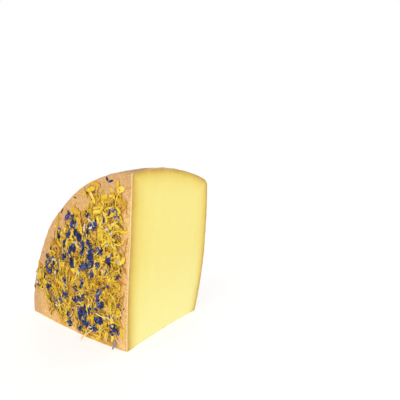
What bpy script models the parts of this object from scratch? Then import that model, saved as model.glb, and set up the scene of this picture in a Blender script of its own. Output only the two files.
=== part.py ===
"""A quarter of a cheese wheel, standing on one of its two cut faces.

The wheel is turned about its axle, tipped up so that its flower-coated face looks
along -Y, and then cut twice: once level, which gives the face that it stands on, and
once upright, where the knife wandered out of true near the wheel's centre.
The origin is on the table, below the middle of the piece. Metres, +Z up.
"""

import bmesh
import bpy
from math import cos, pi, radians, sin
from mathutils import Matrix, Vector

# The wheel
WHEEL_RADIUS = 0.140  # where the two flat faces meet the rim
HUB_HEIGHT = 0.093  # from face to face at the wheel's centre
FACE_DISH = 0.0060  # how far each face rises from the centre to its shoulder
DISH_REACH = 0.55  # share of the radius over which it rises
RIM_BULGE = 0.0075  # how far the rim swells past the radius halfway up
RIM_FULLNESS = 2.25  # 2 is a plain arc, more is squarer
FRONT_EDGE_ROUND = 0.0025  # the flower-coated face's edge
BACK_EDGE_ROUND = 0.0080  # the other face's edge, which lay on the shelf

# The knife
KNIFE_SWEEP = 0.011  # how far the upright cut wanders between the centre and the rim

# How finely the curves are divided
TURN_STEPS = 144
FACE_STEPS = 12
RIM_STEPS = 18
ROUND_STEPS = 6
KNIFE_STEPS = 24

CUTTER_REACH = 0.2  # well past the wheel, so that no cutter wall grazes it
MERGE_DISTANCE = 0.00001  # points this close at the axle and the seam become one
WHEEL_CENTRE_X = (WHEEL_RADIUS + RIM_BULGE - KNIFE_SWEEP) / 2
SHOULDER_HEIGHT = HUB_HEIGHT + 2 * FACE_DISH

RIND_COLOUR = (0.66, 0.39, 0.17, 1.0)
RIND_ROUGHNESS = 0.75


def clear_scene():
    for obj in list(bpy.data.objects):
        bpy.data.objects.remove(obj)


def new_collection(name, hidden=False):
    collection = bpy.data.collections.new(name)
    collection.hide_render = hidden
    bpy.context.scene.collection.children.link(collection)
    return collection


def face_rise(radius):
    """How far a flat face stands above its middle at this radius."""
    share = min(radius / (DISH_REACH * WHEEL_RADIUS), 1.0)
    return FACE_DISH * (1 - (1 - share) ** 2)


def rim_radius(height):
    """The rim's radius at this height above the wheel's middle plane."""
    share = abs(2 * height / SHOULDER_HEIGHT)
    return WHEEL_RADIUS + RIM_BULGE * (1 - share**RIM_FULLNESS)


def rounded_corner(corner, before, after, radius):
    """An arc that replaces the corner between two straight runs, in the profile's plane."""
    to_before = (before - corner).normalized()
    to_after = (after - corner).normalized()
    half_angle = to_before.angle(to_after) / 2
    along = radius * cos(half_angle) / sin(half_angle)
    centre = corner + (to_before + to_after).normalized() * (radius / sin(half_angle))

    # from one tangent point to the other, seen from the arc's centre
    start = corner + to_before * along - centre
    end = corner + to_after * along - centre
    sweep = start.angle(end)
    arc = []
    for step in range(ROUND_STEPS + 1):
        turned = sweep * step / ROUND_STEPS
        arc.append(centre + (start * sin(sweep - turned) + end * sin(turned)) / sin(sweep))
    return arc


def wheel_profile():
    """Half of the wheel's section, from the top face's middle round to the bottom's."""
    top_corner = Vector((WHEEL_RADIUS, SHOULDER_HEIGHT / 2))
    bottom_corner = Vector((WHEEL_RADIUS, -SHOULDER_HEIGHT / 2))
    face_end = WHEEL_RADIUS - 2 * BACK_EDGE_ROUND
    radii = [face_end * step / FACE_STEPS for step in range(FACE_STEPS + 1)]
    top_face = [Vector((r, HUB_HEIGHT / 2 + face_rise(r))) for r in radii]
    bottom_face = [Vector((p.x, -p.y)) for p in reversed(top_face)]

    rim_top = SHOULDER_HEIGHT / 2 - 2 * FRONT_EDGE_ROUND
    rim_bottom = -SHOULDER_HEIGHT / 2 + 2 * BACK_EDGE_ROUND
    heights = [rim_top + (rim_bottom - rim_top) * step / RIM_STEPS for step in range(RIM_STEPS + 1)]
    rim = [Vector((rim_radius(h), h)) for h in heights]

    front_edge = rounded_corner(top_corner, top_face[-1], rim[0], FRONT_EDGE_ROUND)
    back_edge = rounded_corner(bottom_corner, rim[-1], bottom_face[0], BACK_EDGE_ROUND)
    return top_face + front_edge + rim + back_edge + bottom_face


def turned_wheel(collection):
    """The whole wheel, turned about its own Z and tipped up so that its top faces -Y."""
    points = wheel_profile()
    mesh = bpy.data.meshes.new("cheese_wedge")
    edges = [(i, i + 1) for i in range(len(points) - 1)]
    mesh.from_pydata([(p.x, 0.0, p.y) for p in points], edges, [])
    wheel = bpy.data.objects.new("cheese_wedge", mesh)
    collection.objects.link(wheel)
    wheel.location = (WHEEL_CENTRE_X, 0, 0)
    wheel.rotation_euler = (radians(90), 0, 0)

    turn = wheel.modifiers.new("turn", "SCREW")
    turn.angle = 2 * pi
    turn.steps = turn.render_steps = TURN_STEPS
    turn.use_merge_vertices = True
    turn.merge_threshold = MERGE_DISTANCE
    turn.use_smooth_shade = False
    return wheel


def knife_x(height):
    """Where the upright cut runs, measured from the wheel's centre, at this height."""
    share = min(height / WHEEL_RADIUS, 1.0)
    return KNIFE_SWEEP * (1 - (1 - share) ** 2)


def level_cutter(collection):
    """What the level cut takes away: all of the wheel below the table."""
    mesh = bpy.data.meshes.new("level_cutter")
    block = bmesh.new()
    bmesh.ops.create_cube(block, size=2 * CUTTER_REACH)
    bmesh.ops.translate(block, verts=block.verts, vec=(0, 0, -CUTTER_REACH))
    block.to_mesh(mesh)
    block.free()
    cutter = bpy.data.objects.new("level_cutter", mesh)
    collection.objects.link(cutter)
    return cutter


def upright_cutter(collection):
    """What the upright cut takes away: all that lies to the right of the knife's path."""
    heights = [WHEEL_RADIUS * step / KNIFE_STEPS for step in range(KNIFE_STEPS + 1)]
    path = [(knife_x(h), h) for h in heights]
    outline = [(0.0, -CUTTER_REACH), *path, (KNIFE_SWEEP, CUTTER_REACH)]
    outline += [(CUTTER_REACH, CUTTER_REACH), (CUTTER_REACH, -CUTTER_REACH)]

    mesh = bpy.data.meshes.new("upright_cutter")
    slab = bmesh.new()
    corners = [slab.verts.new((x, -CUTTER_REACH, z)) for x, z in outline]
    side = slab.faces.new(corners)
    pushed = bmesh.ops.extrude_face_region(slab, geom=[side])
    far_side = [v for v in pushed["geom"] if isinstance(v, bmesh.types.BMVert)]
    bmesh.ops.translate(slab, verts=far_side, vec=(0, 2 * CUTTER_REACH, 0))
    bmesh.ops.recalc_face_normals(slab, faces=slab.faces)
    slab.transform(Matrix.Translation((WHEEL_CENTRE_X, 0, 0)))
    slab.to_mesh(mesh)
    slab.free()
    cutter = bpy.data.objects.new("upright_cutter", mesh)
    collection.objects.link(cutter)
    return cutter


def cut(piece, cutter):
    cutter.display_type = "WIRE"
    cutter.hide_render = True
    knife = piece.modifiers.new(cutter.name, "BOOLEAN")
    knife.operation = "DIFFERENCE"
    knife.solver = "EXACT"
    knife.object = cutter


def rind_material():
    material = bpy.data.materials.new("washed_rind")
    material.use_nodes = True
    shader = material.node_tree.nodes["Principled BSDF"]
    shader.inputs["Base Color"].default_value = RIND_COLOUR
    shader.inputs["Roughness"].default_value = RIND_ROUGHNESS
    shader.inputs["Metallic"].default_value = 0.0
    return material


def main():
    clear_scene()
    parts = new_collection("cheese_wedge")
    cutters = new_collection("cutters", hidden=True)
    wedge = turned_wheel(parts)
    cut(wedge, level_cutter(cutters))
    cut(wedge, upright_cutter(cutters))
    wedge.data.materials.append(rind_material())


main()
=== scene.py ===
# %% [markdown]
# # A wedge of flower-coated cheese
#
# The real thing is a quarter of a semi-hard cheese wheel. The wheel was washed with brine while it
# ripened, which gave it a thin orange-tan rind, and its flat faces were then strewn with dried
# marigold and cornflower petals. The quarter stands on one of its two cut faces.
#
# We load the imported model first. It gives us the sizes, and everything below is built around it.

import math
from dataclasses import dataclass

import bpy
import numpy as np
from mathutils import Matrix, Vector


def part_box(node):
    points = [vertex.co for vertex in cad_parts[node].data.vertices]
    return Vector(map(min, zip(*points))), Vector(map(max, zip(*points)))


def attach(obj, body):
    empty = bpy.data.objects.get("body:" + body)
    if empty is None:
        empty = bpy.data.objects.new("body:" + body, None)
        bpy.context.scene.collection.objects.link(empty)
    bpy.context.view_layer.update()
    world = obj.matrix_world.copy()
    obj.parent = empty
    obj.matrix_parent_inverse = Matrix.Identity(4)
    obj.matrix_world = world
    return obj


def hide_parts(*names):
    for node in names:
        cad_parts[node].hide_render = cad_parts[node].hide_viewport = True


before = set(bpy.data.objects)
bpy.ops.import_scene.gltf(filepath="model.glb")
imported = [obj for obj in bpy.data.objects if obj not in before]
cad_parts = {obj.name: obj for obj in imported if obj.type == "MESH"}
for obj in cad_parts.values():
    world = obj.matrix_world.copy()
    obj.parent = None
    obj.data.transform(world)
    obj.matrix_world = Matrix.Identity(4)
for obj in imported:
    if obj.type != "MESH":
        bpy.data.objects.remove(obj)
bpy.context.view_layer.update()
wedge_low, wedge_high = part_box("cheese_wedge")
MM = 0.001
print("wedge, in mm:", [round(side / MM, 1) for side in wedge_high - wedge_low])

# %% [markdown]
# ## The wheel's measures
#
# A wheel of cheese is a turned shape: its flat faces sink a little towards the middle, where the
# soft young cheese settled, and its rim bulges. Four of its measures can be read from the box of
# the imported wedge. The others are the same numbers that the solid was designed with.
#
# The wheel's axle lies along Y, so a place on the wheel is given by its radius from the axle and
# its height above the middle plane, with the flower-coated face on the -Y side.

# %% Measures of the wheel
RIM_BULGE = 7.5 * MM
RIM_FULLNESS = 2.25
FACE_DISH = 6.0 * MM
DISH_REACH = 0.55
FRONT_EDGE_ROUND = 2.5 * MM
BACK_EDGE_ROUND = 8.0 * MM

WHEEL_RADIUS = wedge_high.z - RIM_BULGE
WHEEL_HEIGHT = wedge_high.y - wedge_low.y
AXLE_X = wedge_low.x + wedge_high.z
KNIFE_SWEEP = wedge_high.x - AXLE_X
print("wheel radius, in mm:", round(WHEEL_RADIUS / MM, 1))


def face_height(radius):
    """Height of a flat face above the wheel's middle plane."""
    share = np.minimum(radius / (DISH_REACH * WHEEL_RADIUS), 1.0)
    return WHEEL_HEIGHT / 2 - FACE_DISH * (1 - share) ** 2


def rim_radius(height):
    """Radius of the bulging rim."""
    share = np.abs(2 * height / WHEEL_HEIGHT)
    return WHEEL_RADIUS + RIM_BULGE * (1 - share**RIM_FULLNESS)


def knife_x(height):
    """How far the upright cut has wandered from the axle at this height above the table."""
    share = np.clip(height / WHEEL_RADIUS, 0, 1)
    return KNIFE_SWEEP * (1 - (1 - share) ** 2)


# %% [markdown]
# ## The wheel's section
#
# Everything turned starts from one line: from the middle of the flowery face, out to its edge, over
# the rim and back to the middle of the other face. A complex number holds a point of that line,
# with the radius as its real part and the height as its imaginary part, because turning, measuring
# and offsetting are then single operations.
#
# The points stand closer together at the edges, where the shape and the colour change fastest.

# %% Draw the section
FACE_CELLS = 110
RIM_CELLS = 80
ARC_STEPS = 13
CROWDED = 0.3  # size of the cells at an edge, as a share of the usual size


def corner_arc(before, corner, after, radius):
    """The arc that rounds the corner between two straight runs."""
    to_before = (before - corner) / abs(before - corner)
    to_after = (after - corner) / abs(after - corner)
    half_angle = abs(np.angle(to_after / to_before)) / 2
    inward = (to_before + to_after) / abs(to_before + to_after)
    centre = corner + inward * radius / math.sin(half_angle)
    start = corner + to_before * radius / math.tan(half_angle) - centre
    end = corner + to_after * radius / math.tan(half_angle) - centre
    return centre + start * np.exp(1j * np.angle(end / start) * np.linspace(0, 1, ARC_STEPS))


def spaced(cells, at_start, at_end):
    """Shares from 0 to 1 for this many cells, which shrink to a share of their size at the ends."""
    middles = (np.arange(cells) + 0.5) / cells
    sizes = np.interp(middles, [0, 0.15, 0.85, 1], [at_start, 1, 1, at_end])
    return np.concatenate([[0], np.cumsum(sizes)]) / sizes.sum()


def along(line, shares):
    """The points at these shares of a line's length."""
    lengths = np.concatenate([[0], np.cumsum(np.abs(np.diff(line)))])
    places = shares * lengths[-1]
    return np.interp(places, lengths, line.real) + 1j * np.interp(places, lengths, line.imag)


def wheel_section():
    """The section's points, and the numbers of the two points at the rim's edges."""
    radii = np.linspace(0, WHEEL_RADIUS - 2 * BACK_EDGE_ROUND, 60)
    front_face = radii + 1j * face_height(radii)
    back_face = np.conj(front_face[::-1])
    top = WHEEL_HEIGHT / 2 - 2 * FRONT_EDGE_ROUND
    bottom = -WHEEL_HEIGHT / 2 + 2 * BACK_EDGE_ROUND
    heights = np.linspace(top, bottom, 60)
    rim = rim_radius(heights) + 1j * heights
    edge = WHEEL_RADIUS + 1j * WHEEL_HEIGHT / 2
    front_arc = corner_arc(front_face[-1], edge, rim[0], FRONT_EDGE_ROUND)
    back_arc = corner_arc(rim[-1], np.conj(edge), back_face[0], BACK_EDGE_ROUND)

    half = ARC_STEPS // 2
    front_line = np.concatenate([front_face, front_arc[: half + 1]])
    rim_line = np.concatenate([front_arc[half:], rim, back_arc[: half + 1]])
    back_line = np.concatenate([back_arc[half:], back_face])
    runs = [
        along(front_line, spaced(FACE_CELLS, 1, CROWDED)),
        along(rim_line, spaced(RIM_CELLS, CROWDED, CROWDED))[1:],
        along(back_line, spaced(FACE_CELLS, CROWDED, 1))[1:],
    ]
    return np.concatenate(runs), FACE_CELLS, FACE_CELLS + RIM_CELLS


section, front_edge, back_edge = wheel_section()
section_ways = np.gradient(section)
section_normals = 1j * section_ways / np.abs(section_ways)
print("points in the section:", len(section))

# %% [markdown]
# ## Turning the section
#
# An angle of 0 puts the section on the level cut, which is the table, and a quarter turn puts it
# nearly on the upright cut. The upright cut isn't quite straight, because the knife wandered, so the
# angle at which each radius meets it is found by trying and correcting a few times.
#
# The wedge was set down on its lowest corner again and again, so the rim is pressed in a little
# towards the table, and the corner itself is rubbed round.

# %% Place a turned point
TRIES = 30
FOOT_PRESSED = 1.0 * MM
FOOT_REACH = 55 * MM
CORNER_WORN = 2.2 * MM
CORNER_REACH = 3.0 * MM


def soft_step(values, low, high):
    """0 below low, 1 above high, and a soft passage between them."""
    share = np.clip((values - low) / (high - low), 0, 1)
    return share * share * (3 - 2 * share)


def foot_wear(radius, height):
    """How far the rim has been pressed in and rubbed off near the table."""
    pressed = FOOT_PRESSED * (1 - soft_step(height, 0, FOOT_REACH))
    worn = CORNER_WORN * np.exp(-height / CORNER_REACH)
    return (pressed + worn) * soft_step(radius, 0.85 * WHEEL_RADIUS, WHEEL_RADIUS)


def turned(points, angle):
    """Points of the section in space, turned round the axle by this angle."""
    radius, height = points.real, points.imag
    radius = radius - foot_wear(radius, np.maximum(radius * np.sin(angle), 0))
    x = AXLE_X - radius * np.cos(angle)
    z = radius * np.sin(angle)
    return np.stack(np.broadcast_arrays(x, -height, z), axis=-1)


def cut_angle(radius):
    """The angle at which this radius meets the upright cut."""
    radius = np.maximum(radius, 0.001 * MM)
    angle = np.full(np.shape(radius), math.pi / 2)
    for _ in range(TRIES):
        lean = np.clip(knife_x(radius * np.sin(angle)) / radius, -1, 1)
        angle = math.pi / 2 + np.arcsin(lean)
    return angle


print("the cut is at", round(math.degrees(cut_angle(np.array(WHEEL_RADIUS))), 1), "degrees at the rim")

# %% [markdown]
# ## Unevenness
#
# No cheese is as true as a formula. Adding up a few dozen sine waves that run in random directions
# gives a soft unevenness with no pattern to it, and its wavelength is the size of the bumps. The
# rind gets three sizes: the slow sag of a soft thing that was turned by hand on its shelf, the
# dents of fingers and boards, and the beginning of its grain.

# %% Make unevenness
WAVES = 24


def unevenness(points, wavelength, seed):
    """A soft random height between about -1 and 1 for each point."""
    rng = np.random.default_rng(seed)
    ways = rng.normal(size=(WAVES, 3))
    ways *= (rng.uniform(0.6, 1.5, WAVES) / np.linalg.norm(ways, axis=1))[:, None]
    phases = rng.uniform(0, 2 * math.pi, WAVES)
    angles = points @ ways.T * (2 * math.pi / wavelength) + phases
    return np.sin(angles).sum(axis=-1) / math.sqrt(WAVES)


def rind_relief(points):
    """How far the rind stands above the true turned shape."""
    sag = 0.30 * MM * unevenness(points, 45 * MM, seed=1)
    dents = 0.18 * MM * unevenness(points, 11 * MM, seed=2)
    grain = 0.09 * MM * unevenness(points, 3.2 * MM, seed=3)
    return sag + dents + grain


# %% [markdown]
# ## The rind as a shell
#
# The rind is a skin just over a millimetre thick that is one with the cheese, but it has its own
# colour and its own finish, so it's its own closed shell. Its outer wall is fine enough to hold the
# relief. Its inner wall is never seen, so it has few columns, but it has as many rows as the outer
# one, because the two meet at the cuts. The knife rounds the outer edge there by a fraction of a
# millimetre, and a number stored on the points paints that rounded edge pale: a painted highlight.

# %% Helpers for meshes
def grid_faces(rows, columns, first=0, flip=False):
    """The four-sided faces between rows and columns of points that are numbered row by row."""
    corner = first + np.arange(rows - 1)[:, None] * columns + np.arange(columns - 1)
    faces = np.stack([corner, corner + 1, corner + columns + 1, corner + columns], axis=-1)
    faces = faces.reshape(-1, 4)
    return faces[:, ::-1] if flip else faces


def new_piece(name, points, faces, material, numbers=None):
    """A mesh object made of these points and faces, with numbers stored on its points."""
    mesh = bpy.data.meshes.new(name)
    mesh.from_pydata(np.asarray(points).tolist(), [], [list(face) for face in faces])
    for label, values in (numbers or {}).items():
        stored = mesh.attributes.new(label, "FLOAT", "POINT")
        stored.data.foreach_set("value", np.asarray(values, np.float32).ravel())
    mesh.materials.append(material)
    mesh.shade_smooth()
    piece = bpy.data.objects.new(name, mesh)
    bpy.context.scene.collection.objects.link(piece)
    return piece


def welded(points, faces, numbers):
    """Joins points that lie in one place, and drops the faces that this leaves without area."""
    keys = np.round(points / (0.002 * MM)).astype(np.int64)
    _, kept, same = np.unique(keys, axis=0, return_index=True, return_inverse=True)
    same = same.ravel()
    whole = []
    for face in faces:
        corners = list(dict.fromkeys(same[i] for i in face))
        if len(corners) > 2:
            whole.append([int(i) for i in corners])
    return points[kept], whole, {label: values[kept] for label, values in numbers.items()}


# %% [markdown]
# ## Colours and nodes
#
# Colours are written as they would be picked on a screen, as sRGB hex values, and one function turns
# them to the linear light that Blender reckons with. One small function adds a node, sets it up and
# links it, so that a material reads as the list of what it is made of.

# %% Colour and node helpers
def linear(colour):
    """The linear colour of an sRGB hex value such as #fdef95."""
    levels = [int(colour[i : i + 2], 16) / 255 for i in (1, 3, 5)]
    return [v / 12.92 if v <= 0.04045 else ((v + 0.055) / 1.055) ** 2.4 for v in levels] + [1.0]


def fill_inputs(tree, node, inputs):
    """Links or sets a node's inputs."""
    for name, value in inputs.items():
        if isinstance(value, bpy.types.NodeSocket):
            tree.links.new(value, node.inputs[name])
        else:
            node.inputs[name].default_value = value


def add_node(tree, kind, inputs, ramp=(), **settings):
    """Adds a node with its settings and links. A ramp is a list of places and colours."""
    node = tree.nodes.new("ShaderNode" + kind)
    for name, value in settings.items():
        setattr(node, name, value)
    for stop, (place, colour) in enumerate(ramp):
        if stop >= len(node.color_ramp.elements):
            node.color_ramp.elements.new(1.0)
        node.color_ramp.elements[stop].position = place
        node.color_ramp.elements[stop].color = linear(colour)
    fill_inputs(tree, node, inputs)
    return node


def new_material(name):
    """A material, its node tree and its shader."""
    material = bpy.data.materials.new(name)
    material.use_nodes = True
    return material, material.node_tree, material.node_tree.nodes["Principled BSDF"]


FACTOR, FIRST, SECOND, MIXED = 0, 6, 7, 2  # sockets of a Mix node that is set to colours


def per_metre(size):
    """The Scale that makes a texture's features this size."""
    return 1 / size


# %% [markdown]
# ## Washed rind
#
# Washing a young wheel with brine grows a dry skin of salt-loving bacteria. To the eye that is a
# matt orange tan, pinker in some places, with a grain like fine sandpaper and a pale bloom that sits
# on the grain's high spots. Grain on the real rind is 0.5 mm; it's drawn at about 1 mm, because
# anything finer would vanish at this distance. Under the petals the rind is darker and more orange:
# partly their dye, partly painted shade in the gaps between them. The rim is a shade browner, partly
# its own colour and partly painted shade, and the bare border of each flat face darkens towards it
# with painted shade too.
#
# The finish is a stack of layers. Each layer is a soft noise of its own size that lets one more
# colour through where the noise is high.

# %% Material: washed rind
RIND_TAN = "#d0a55f"
RIND_LAYERS = [  # size of the patches, where the noise starts and ends to let them show, colour
    (22 * MM, 0.40, 0.60, "#d8a070"),
    (6 * MM, 0.50, 0.70, "#cba048"),
    (3.0 * MM, 0.48, 0.64, "#c98d60"),
    (1.6 * MM, 0.46, 0.60, "#e2c07e"),
]
# Painted shade in part: the rind under the petals, partly their dye and partly the shade in the gaps between
# them, tinted orange like light bounced among the petals.
RIND_STAIN_AND_GAP_SHADE = "#c68c46"
# The rim's browner colour, partly its own and partly painted shade; it also darkens the bare border near the
# rim as painted shade.
RIND_RIM_BROWN_AND_SHADE = "#a87c59"
RIND_BLOOM = "#e2c8a8"
# Painted highlight: the pale line along the rind's rounded edge at the two cuts.
RIND_EDGE_HIGHLIGHT = "#e6cd92"


def washed_rind():
    material, tree, shader = new_material("washed_rind")
    place = add_node(tree, "TexCoord", {}).outputs["Object"]
    colour = linear(RIND_TAN)
    for size, low, high, tint in RIND_LAYERS:
        noise = add_node(tree, "TexNoise", {"Vector": place, "Scale": per_metre(size), "Detail": 3})
        share = add_node(
            tree,
            "MapRange",
            {"Value": noise.outputs["Fac"], "From Min": low, "From Max": high, "To Max": 0.85},
        )
        layer = add_node(
            tree,
            "Mix",
            {FACTOR: share.outputs[0], FIRST: colour, SECOND: linear(tint)},
            data_type="RGBA",
        )
        colour = layer.outputs[MIXED]
    # The stain under the petals and the rim's brown are partly painted shade; the pale cut edge is a painted
    # highlight.
    for label, tint in (("coat", RIND_STAIN_AND_GAP_SHADE), ("rim", RIND_RIM_BROWN_AND_SHADE), ("scraped", RIND_EDGE_HIGHLIGHT)):
        share = add_node(tree, "Attribute", {}, attribute_name=label)
        layer = add_node(
            tree,
            "Mix",
            {FACTOR: share.outputs["Fac"], FIRST: colour, SECOND: linear(tint)},
            data_type="RGBA",
        )
        colour = layer.outputs[MIXED]
    bloom = add_node(
        tree, "TexNoise", {"Vector": place, "Scale": per_metre(7 * MM), "Detail": 6, "Roughness": 0.7}
    )
    rim = add_node(tree, "Attribute", {}, attribute_name="bloom")
    bloom_share = add_node(
        tree,
        "MapRange",
        {"Value": bloom.outputs["Fac"], "From Min": 0.50, "From Max": 0.68, "To Max": rim.outputs["Fac"]},
    )
    layer = add_node(
        tree,
        "Mix",
        {FACTOR: bloom_share.outputs[0], FIRST: colour, SECOND: linear(RIND_BLOOM)},
        data_type="RGBA",
    )
    colour = layer.outputs[MIXED]
    grain = add_node(tree, "TexNoise", {"Vector": place, "Scale": per_metre(1.3 * MM), "Detail": 2})
    bump = add_node(
        tree, "Bump", {"Height": grain.outputs["Fac"], "Distance": 0.4 * MM, "Strength": 0.5}
    )
    fill_inputs(
        tree,
        shader,
        {
            "Base Color": colour,
            "Roughness": 0.78,
            "IOR": 1.45,
            "Specular IOR Level": 0.25,
            "Normal": bump.outputs["Normal"],
        },
    )
    return material


rind_finish = washed_rind()
print("made", rind_finish.name)

# %% [markdown]
# ## Cut cheese
#
# Cheese makers call the inside of a cheese its paste. Cut with a long knife, it's smooth, slightly
# greasy and a little translucent: light goes a few millimetres in and comes back yellower, which is
# what subsurface scattering does. It's butter yellow in the middle. Towards the rind, where it has
# dried and ripened most, it passes through ochre to amber within a centimetre. Towards the table it's
# painted a shade paler, which is painted light from the glowing table below. The number stored as "depth" is
# the distance to the rind in millimetres, and a colour ramp turns it into those bands.

# %% Material: cut cheese
BAND_WIDTH = 24.0  # how many millimetres of depth the ramp covers
PASTE_RAMP = [
    (0.0 / BAND_WIDTH, "#b68f46"),
    (1.0 / BAND_WIDTH, "#bf993a"),
    (2.4 / BAND_WIDTH, "#cdab40"),
    (4.5 / BAND_WIDTH, "#d9bd54"),
    (7.5 / BAND_WIDTH, "#e0ca66"),
    (13.0 / BAND_WIDTH, "#e4d374"),
    (1.0, "#e6d77d"),
]
# Painted light: the paste is painted paler towards the table, standing in for light from the glowing table.
PASTE_PAINTED_TABLE_LIGHT = "#ebe39a"
PAINTED_TABLE_LIGHT_HEIGHT = 75 * MM
PASTE_CURD = "#eadfa6"


def cut_cheese():
    material, tree, shader = new_material("cut_cheese")
    place = add_node(tree, "TexCoord", {}).outputs["Object"]
    depth = add_node(tree, "Attribute", {}, attribute_name="depth")
    clouds = add_node(tree, "TexNoise", {"Vector": place, "Scale": per_metre(14 * MM), "Detail": 3})
    drift = add_node(
        tree,
        "MapRange",
        {"Value": clouds.outputs["Fac"], "From Min": 0.3, "From Max": 0.7, "To Min": -0.6, "To Max": 0.6},
    )
    wandering = add_node(
        tree, "Math", {0: depth.outputs["Fac"], 1: drift.outputs[0]}, operation="ADD"
    )
    share = add_node(tree, "Math", {0: wandering.outputs[0], 1: BAND_WIDTH}, operation="DIVIDE")
    bands = add_node(tree, "ValToRGB", {"Fac": share.outputs[0]}, ramp=PASTE_RAMP)
    curd = add_node(tree, "TexNoise", {"Vector": place, "Scale": per_metre(4 * MM), "Detail": 4})
    curd_share = add_node(
        tree,
        "MapRange",
        {"Value": curd.outputs["Fac"], "From Min": 0.3, "From Max": 0.7, "To Min": 0.0, "To Max": 0.12},
    )
    colour = add_node(
        tree,
        "Mix",
        {FACTOR: curd_share.outputs[0], FIRST: bands.outputs["Color"], SECOND: linear(PASTE_CURD)},
        data_type="RGBA",
    )
    # Painted light from the table: paler towards the table, away from the rind.
    height = add_node(tree, "SeparateXYZ", {"Vector": place}).outputs["Z"]
    painted_table_light_share = add_node(
        tree, "MapRange", {"Value": height, "From Max": PAINTED_TABLE_LIGHT_HEIGHT, "To Min": 0.8, "To Max": 0.0}
    )
    inside = add_node(
        tree, "MapRange", {"Value": depth.outputs["Fac"], "From Min": 2.0, "From Max": 12.0}
    )
    pale = add_node(
        tree, "Math", {0: painted_table_light_share.outputs[0], 1: inside.outputs[0]}, operation="MULTIPLY"
    )
    colour = add_node(
        tree,
        "Mix",
        {FACTOR: pale.outputs[0], FIRST: colour.outputs[MIXED], SECOND: linear(PASTE_PAINTED_TABLE_LIGHT)},
        data_type="RGBA",
    )
    bump = add_node(
        tree, "Bump", {"Height": curd.outputs["Fac"], "Distance": 0.25 * MM, "Strength": 0.25}
    )
    fill_inputs(
        tree,
        shader,
        {
            "Base Color": colour.outputs[MIXED],
            "Roughness": 0.42,
            "IOR": 1.46,
            "Specular IOR Level": 0.35,
            "Subsurface Weight": 0.25,
            "Subsurface Radius": (1.0, 0.75, 0.25),
            "Subsurface Scale": 3.0 * MM,
            "Normal": bump.outputs["Normal"],
        },
    )
    return material


paste_finish = cut_cheese()
print("made", paste_finish.name)

# %% [markdown]
# ## Where the petals lie
#
# The petals were strewn on each flat face and pressed on. They stop short of the rim in most places,
# where hands held the wheel, and short of the upright cut, where the knife brushed them off. In a
# few places they never stuck or were rubbed away since. The coat's share at a place is 1 where it's
# full and 0 where the rind is bare, and a slow unevenness makes its outline ragged.

# %% How full the coat is
FRONT, BACK = -1, 1
BARE_PATCHES = {  # distance from the upright cut, height above the table and radius, in mm
    FRONT: [
        (4, 136, 11), (18, 138, 9), (32, 134, 7), (66, 121, 8), (84, 115, 10), (100, 104, 11), (113, 91, 10),
        (124, 74, 9), (131, 60, 5), (129, 11, 13), (112, 6, 8), (92, 2, 7), (70, 0, 5), (6, 8, 3),
    ],
    BACK: [(20, 132, 10), (78, 114, 12), (122, 66, 9), (134, 24, 8), (96, 4, 9), (30, 5, 7), (62, 60, 5)],
}
PATCH_EDGE = 8 * MM


def from_cut_to_x(from_cut, height):
    """The x of a place on a flat face that lies this far from the upright cut."""
    return AXLE_X + knife_x(height) - from_cut


def coat_share(x, z, side):
    """How full the coat of petals is at this place on a flat face."""
    places = np.stack(np.broadcast_arrays(x, 0.1 * side, z), axis=-1)
    ragged = 2.5 * MM * unevenness(places, 20 * MM, seed=5)
    to_cut = from_cut_to_x(0, z) - x
    to_rim = WHEEL_RADIUS - np.hypot(x - AXLE_X, z)
    share = soft_step(to_cut + ragged, 3 * MM, 13 * MM) * soft_step(to_rim + ragged, 0 * MM, 9 * MM)
    for from_cut, height, radius in BARE_PATCHES[side]:
        centre_x = from_cut_to_x(from_cut * MM, height * MM)
        distance = np.hypot(x - centre_x, z - height * MM)
        share = share * soft_step(distance + ragged, radius * MM, radius * MM + PATCH_EDGE)
    return share


print("coat at its middle:", float(coat_share(AXLE_X - 0.4 * WHEEL_RADIUS, 0.4 * WHEEL_RADIUS, FRONT)))

# %% [markdown]
# ## Build the rind
#
# The outer wall is the section turned through the angle of the wedge. Its columns crowd together at
# the two cuts, so that the painted highlight along the edge there is a clean line.

# %% Build the rind
TURN_CELLS = 170
INNER_CELLS = 24
RIND_THICKNESS = 0.9 * MM
CUT_EDGE_ROUND = 0.8 * MM
# Width of the painted highlight along the cut edges.
EDGE_HIGHLIGHT_WIDTH = 0.8 * MM
STAIN_AND_GAP_SHADE = 0.7  # how much of the petals' dye and the painted shade between them shows at most
RIM_BROWN_AND_SHADE = 0.7  # how much of the rim's browner colour and painted shade shows there
BLOOMED = 0.6  # how much of the pale bloom shows on the rim at most
BORDER_BROWN_AND_SHADE = 0.65  # how much of that browner colour and painted shade the bare border of a flat face has


def rounding(distance):
    """How far the knife has pressed the rind's outer edge down, this far from the cut."""
    return 0.5 * CUT_EDGE_ROUND * (1 - np.minimum(distance / CUT_EDGE_ROUND, 1)) ** 2


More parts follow.
